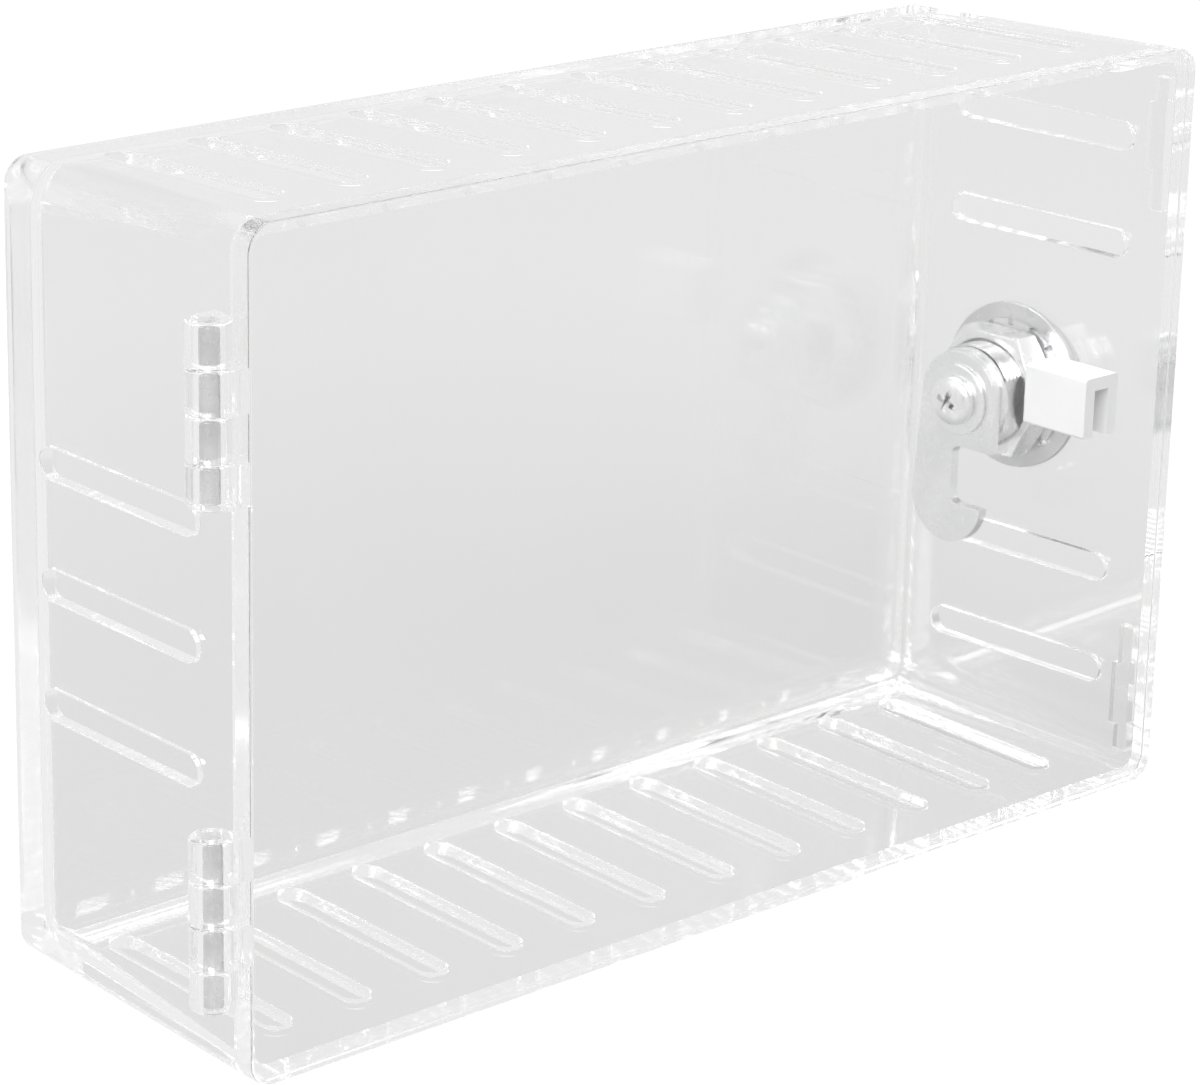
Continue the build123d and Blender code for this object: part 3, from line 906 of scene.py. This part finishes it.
def metal_material(name, group, colour, worn, smoothest, roughest, grain=(1, 1, 1)):
    material, tree, output = new_material(name)
    metal = tree.nodes.new("ShaderNodeBsdfPrincipled")
    metal.inputs["Metallic"].default_value = 1.0
    node = use_group(tree, group, metal)
    node.inputs["Colour"].default_value = (*colour, 1)
    node.inputs["Worn Colour"].default_value = (*worn, 1)
    node.inputs["Smoothest"].default_value = smoothest
    node.inputs["Roughest"].default_value = roughest
    node.inputs["Grain"].default_value = grain
    tree.links.new(metal.outputs[0], output.inputs["Surface"])
    return material


def moulded_material(group):
    material, tree, output = new_material("moulded plastic")
    plastic = tree.nodes.new("ShaderNodeBsdfPrincipled")
    use_group(tree, group, plastic)
    tree.links.new(plastic.outputs[0], output.inputs["Surface"])
    return material


def paint(piece, material):
    piece.data.materials.clear()
    piece.data.materials.append(material)


# ---------------------------------------------------------------- studio
floor_drop = 68.2
floor_half = 3000.0
floor_glow = 1.12
world_fill = 0.55
# Through the clear walls the floor carries a painted shadow: darker near the box, lighter farther off.
seen_through_far, painted_shadow_level = 0.83, 0.75
mirrored_level = 0.88
painted_shadow_inner_reach, painted_shadow_outer_reach = 90.0, 420.0
# A painted dark reflection: a dark place on the floor that only a single mirror bounce sees.
painted_reflection_spot = Vector((150.0, 60.0, 0.0))
painted_reflection_reach = 170.0
painted_reflection_level = 0.35
# A painted dark reflection: an upright dark stripe in the world that only a single mirror bounce sees.
reflection_stripe_turn = -158.0
reflection_stripe_half_width = 0.16
reflection_stripe_level = 0.35


def make_camera():
    """The photo's camera: same place, turn, lens and shift."""
    level_forward = Vector((sin(camera_azimuth), cos(camera_azimuth), 0))
    forward = level_forward * cos(camera_elevation) - Vector((0, 0, sin(camera_elevation)))
    right = Vector((cos(camera_azimuth), -sin(camera_azimuth), 0))
    up = right.cross(forward)
    rolled_right = right * cos(camera_roll) + up * sin(camera_roll)
    rolled_up = up * cos(camera_roll) - right * sin(camera_roll)
    data = bpy.data.cameras.new("camera")
    data.sensor_width = 36.0
    data.lens = 36.0 * focal_length_pixels / picture_width
    data.shift_x = (picture_width / 2 - principal_x) / picture_width
    data.shift_y = (principal_y - picture_height / 2) / picture_width
    data.clip_start = 0.01
    data.clip_end = 20.0
    camera = bpy.data.objects.new("camera", data)
    columns = Matrix((rolled_right, rolled_up, -forward)).transposed()
    camera.matrix_world = Matrix.Translation(camera_place) @ columns.to_4x4()
    bpy.context.scene.collection.objects.link(camera)
    bpy.context.scene.camera = camera
    return camera


def calc(tree, operation, *values):
    """A math node fed with numbers or sockets; gives its output."""
    node = tree.nodes.new("ShaderNodeMath")
    node.operation = operation
    for socket, value in zip(node.inputs, values):
        if isinstance(value, (int, float)):
            socket.default_value = value
        else:
            tree.links.new(value, socket)
    return node.outputs[0]


def blend(tree, factor, first, second):
    """first where the factor is 0, second where it is 1."""
    node = tree.nodes.new("ShaderNodeMix")
    node.data_type = "FLOAT"
    for label, value in (("Factor", factor), ("A", first), ("B", second)):
        if isinstance(value, (int, float)):
            node.inputs[label].default_value = value
        else:
            tree.links.new(value, node.inputs[label])
    return node.outputs["Result"]


def rise(tree, value, start, end, low, high):
    """A smooth step from low at start to high at end."""
    node = tree.nodes.new("ShaderNodeMapRange")
    node.interpolation_type = "SMOOTHSTEP"
    for label, number in (("From Min", start), ("From Max", end), ("To Min", low), ("To Max", high)):
        node.inputs[label].default_value = number
    tree.links.new(value, node.inputs["Value"])
    return node.outputs["Result"]


def dot(tree, vector, direction):
    node = tree.nodes.new("ShaderNodeVectorMath")
    node.operation = "DOT_PRODUCT"
    tree.links.new(vector, node.inputs[0])
    node.inputs[1].default_value = direction
    return node.outputs["Value"]


def distance(tree, vector, place):
    node = tree.nodes.new("ShaderNodeVectorMath")
    node.operation = "DISTANCE"
    tree.links.new(vector, node.inputs[0])
    node.inputs[1].default_value = place
    return node.outputs["Value"]


def ray_kinds(tree):
    """Masks: sent by eye, mirror or glass; seen by the eye; only through clear walls; off one mirror."""
    light_path = tree.nodes.new("ShaderNodeLightPath")
    camera = light_path.outputs["Is Camera Ray"]
    sent = calc(tree, "MAXIMUM", camera, light_path.outputs["Is Glossy Ray"])
    sent = calc(tree, "MAXIMUM", sent, light_path.outputs["Is Transmission Ray"])
    unmirrored = calc(tree, "LESS_THAN", light_path.outputs["Glossy Depth"], 0.5)
    through = calc(tree, "SUBTRACT", unmirrored, camera)
    once = calc(tree, "COMPARE", light_path.outputs["Glossy Depth"], 1.0, 0.4)
    return sent, camera, through, once


def make_world():
    """White to the eye, a little grey through the clear walls; one upright stripe is a painted dark
    reflection, seen only in a mirror.
    """
    world = bpy.data.worlds.new("studio")
    world.use_nodes = True
    tree = world.node_tree
    tree.nodes.clear()
    output = tree.nodes.new("ShaderNodeOutputWorld")
    place = tree.nodes.new("ShaderNodeTexCoord").outputs["Generated"]
    sent, camera, through, once = ray_kinds(tree)
    # Painted dark reflection: an upright stripe, dark only for rays off one mirror.
    turn = radians(reflection_stripe_turn)
    aside = calc(tree, "ABSOLUTE", dot(tree, place, (-sin(turn), cos(turn), 0)))
    painted_reflection_stripe = rise(tree, aside, 0.4 * reflection_stripe_half_width, reflection_stripe_half_width, reflection_stripe_level, mirrored_level)
    behind = calc(tree, "LESS_THAN", dot(tree, place, (cos(turn), sin(turn), 0)), 0.0)
    painted_reflection_stripe = blend(tree, behind, painted_reflection_stripe, mirrored_level)
    strength = blend(tree, once, mirrored_level, painted_reflection_stripe)
    strength = blend(tree, through, strength, seen_through_far)
    strength = blend(tree, camera, strength, 1.0)
    white = tree.nodes.new("ShaderNodeBackground")
    white.inputs["Color"].default_value = (1, 1, 1, 1)
    tree.links.new(strength, white.inputs["Strength"])
    fill = tree.nodes.new("ShaderNodeBackground")
    fill.inputs["Color"].default_value = (1, 1, 1, 1)
    fill.inputs["Strength"].default_value = world_fill
    mix = tree.nodes.new("ShaderNodeMixShader")
    tree.links.new(sent, mix.inputs[0])
    tree.links.new(fill.outputs[0], mix.inputs[1])
    tree.links.new(white.outputs[0], mix.inputs[2])
    tree.links.new(mix.outputs[0], output.inputs["Surface"])
    bpy.context.scene.world = world


def floor_material():
    """Pale floor: white to the eye, greyer through clear walls with a painted shadow that darkens it near the
    box, and one painted dark reflection seen only in a mirror.
    """
    material, tree, output = new_material("floor")
    pale = tree.nodes.new("ShaderNodeBsdfDiffuse")
    pale.inputs["Color"].default_value = (0.9, 0.9, 0.9, 1)
    place = tree.nodes.new("ShaderNodeTexCoord").outputs["Object"]
    sent, camera, through, once = ray_kinds(tree)
    # Painted dark reflection: the floor is darker about one place, for rays off one mirror only.
    reflection_spot_distance = distance(tree, place, painted_reflection_spot * MM)
    painted_dark_reflection = rise(
        tree, reflection_spot_distance, 0.3 * painted_reflection_reach * MM, painted_reflection_reach * MM, painted_reflection_level, mirrored_level
    )
    around = distance(tree, place, Vector((0, 30, -floor_drop)) * MM)
    # Painted shadow on the floor, darker near the box, seen only through the clear walls.
    painted_floor_shadow = rise(tree, around, painted_shadow_inner_reach * MM, painted_shadow_outer_reach * MM, painted_shadow_level, seen_through_far)
    strength = blend(tree, once, mirrored_level, painted_dark_reflection)
    strength = blend(tree, through, strength, painted_floor_shadow)
    strength = blend(tree, camera, strength, floor_glow)
    glow = tree.nodes.new("ShaderNodeEmission")
    tree.links.new(strength, glow.inputs["Strength"])
    share = calc(tree, "SUBTRACT", sent, calc(tree, "MULTIPLY", camera, 0.25))
    mix = tree.nodes.new("ShaderNodeMixShader")
    tree.links.new(share, mix.inputs[0])
    tree.links.new(pale.outputs[0], mix.inputs[1])
    tree.links.new(glow.outputs[0], mix.inputs[2])
    tree.links.new(mix.outputs[0], output.inputs["Surface"])
    return material


def make_floor():
    clear_selection()
    bpy.ops.mesh.primitive_plane_add(size=2 * floor_half * MM, location=(0, 0, -floor_drop * MM))
    floor = bpy.context.object
    floor.name = "floor"
    bpy.ops.object.transform_apply(location=True)
    paint(floor, floor_material())


def soft_light(name, place, target, width, height, power):
    """A plain soft studio light aimed at a point, in metres."""
    data = bpy.data.lights.new(name, "AREA")
    data.shape = "RECTANGLE"
    data.size = width
    data.size_y = height
    data.energy = power
    lamp = bpy.data.objects.new(name, data)
    aim = (Vector(target) - Vector(place)).to_track_quat("-Z", "Y")
    lamp.matrix_world = Matrix.Translation(place) @ aim.to_matrix().to_4x4()
    bpy.context.scene.collection.objects.link(lamp)
    return lamp


# ---------------------------------------------------------------- the object
plastic_finish = polished_group()
metal_finish = metal_group()
clear = clear_material(plastic_finish)
zinc = metal_material("zinc plating", metal_finish, (0.90, 0.90, 0.90), (0.82, 0.82, 0.83), 0.2, 0.34)
dull_zinc = metal_material("dull zinc", metal_finish, (0.72, 0.72, 0.72), (0.62, 0.62, 0.63), 0.24, 0.4)
chrome = metal_material("bright plating", metal_finish, (0.82, 0.82, 0.82), (0.72, 0.72, 0.73), 0.16, 0.28)
drawn = metal_material(
    "drawn steel", metal_finish, (0.86, 0.86, 0.86), (0.66, 0.66, 0.66), 0.24, 0.46, (6, 6, 3)
)
brass = metal_material("brass", metal_finish, (0.78, 0.62, 0.32), (0.66, 0.5, 0.25), 0.2, 0.35)
spring = metal_material("spring steel", metal_finish, (0.6, 0.6, 0.61), (0.5, 0.5, 0.52), 0.2, 0.35)
moulded = moulded_material(moulded_group())

paint(make_cover(), clear)
paint(make_plate(), clear)
paint(make_housing(), chrome)
paint(make_backing_washer(), dull_zinc)
for piece in (make_nut(), make_cam(), make_cam_washer(), make_screw()):
    paint(piece, zinc)
for piece in make_pins():
    paint(piece, drawn)
paint(make_catch(), moulded)
paint(nodes["tooth_washer"], dull_zinc)
paint(nodes["stop_washer"], zinc)
paint(nodes["lock_plug"], chrome)
for number in range(1, 6):
    paint(nodes[f"wafer_{number}"], brass)
    paint(nodes[f"wafer_spring_{number}"], spring)

make_floor()
make_world()
make_camera()
soft_light("left softbox", (-0.9, -0.5, 0.8), (0, 0, 0), 0.8, 0.6, 8)
soft_light("top softbox", (0.2, 0.4, 1.2), (0, 0.03, 0), 1.0, 1.0, 8)

scene = bpy.context.scene
scene.cycles.max_bounces = 96
scene.cycles.transmission_bounces = 96
scene.cycles.glossy_bounces = 96
scene.cycles.transparent_max_bounces = 24
scene.view_settings.view_transform = "Standard"
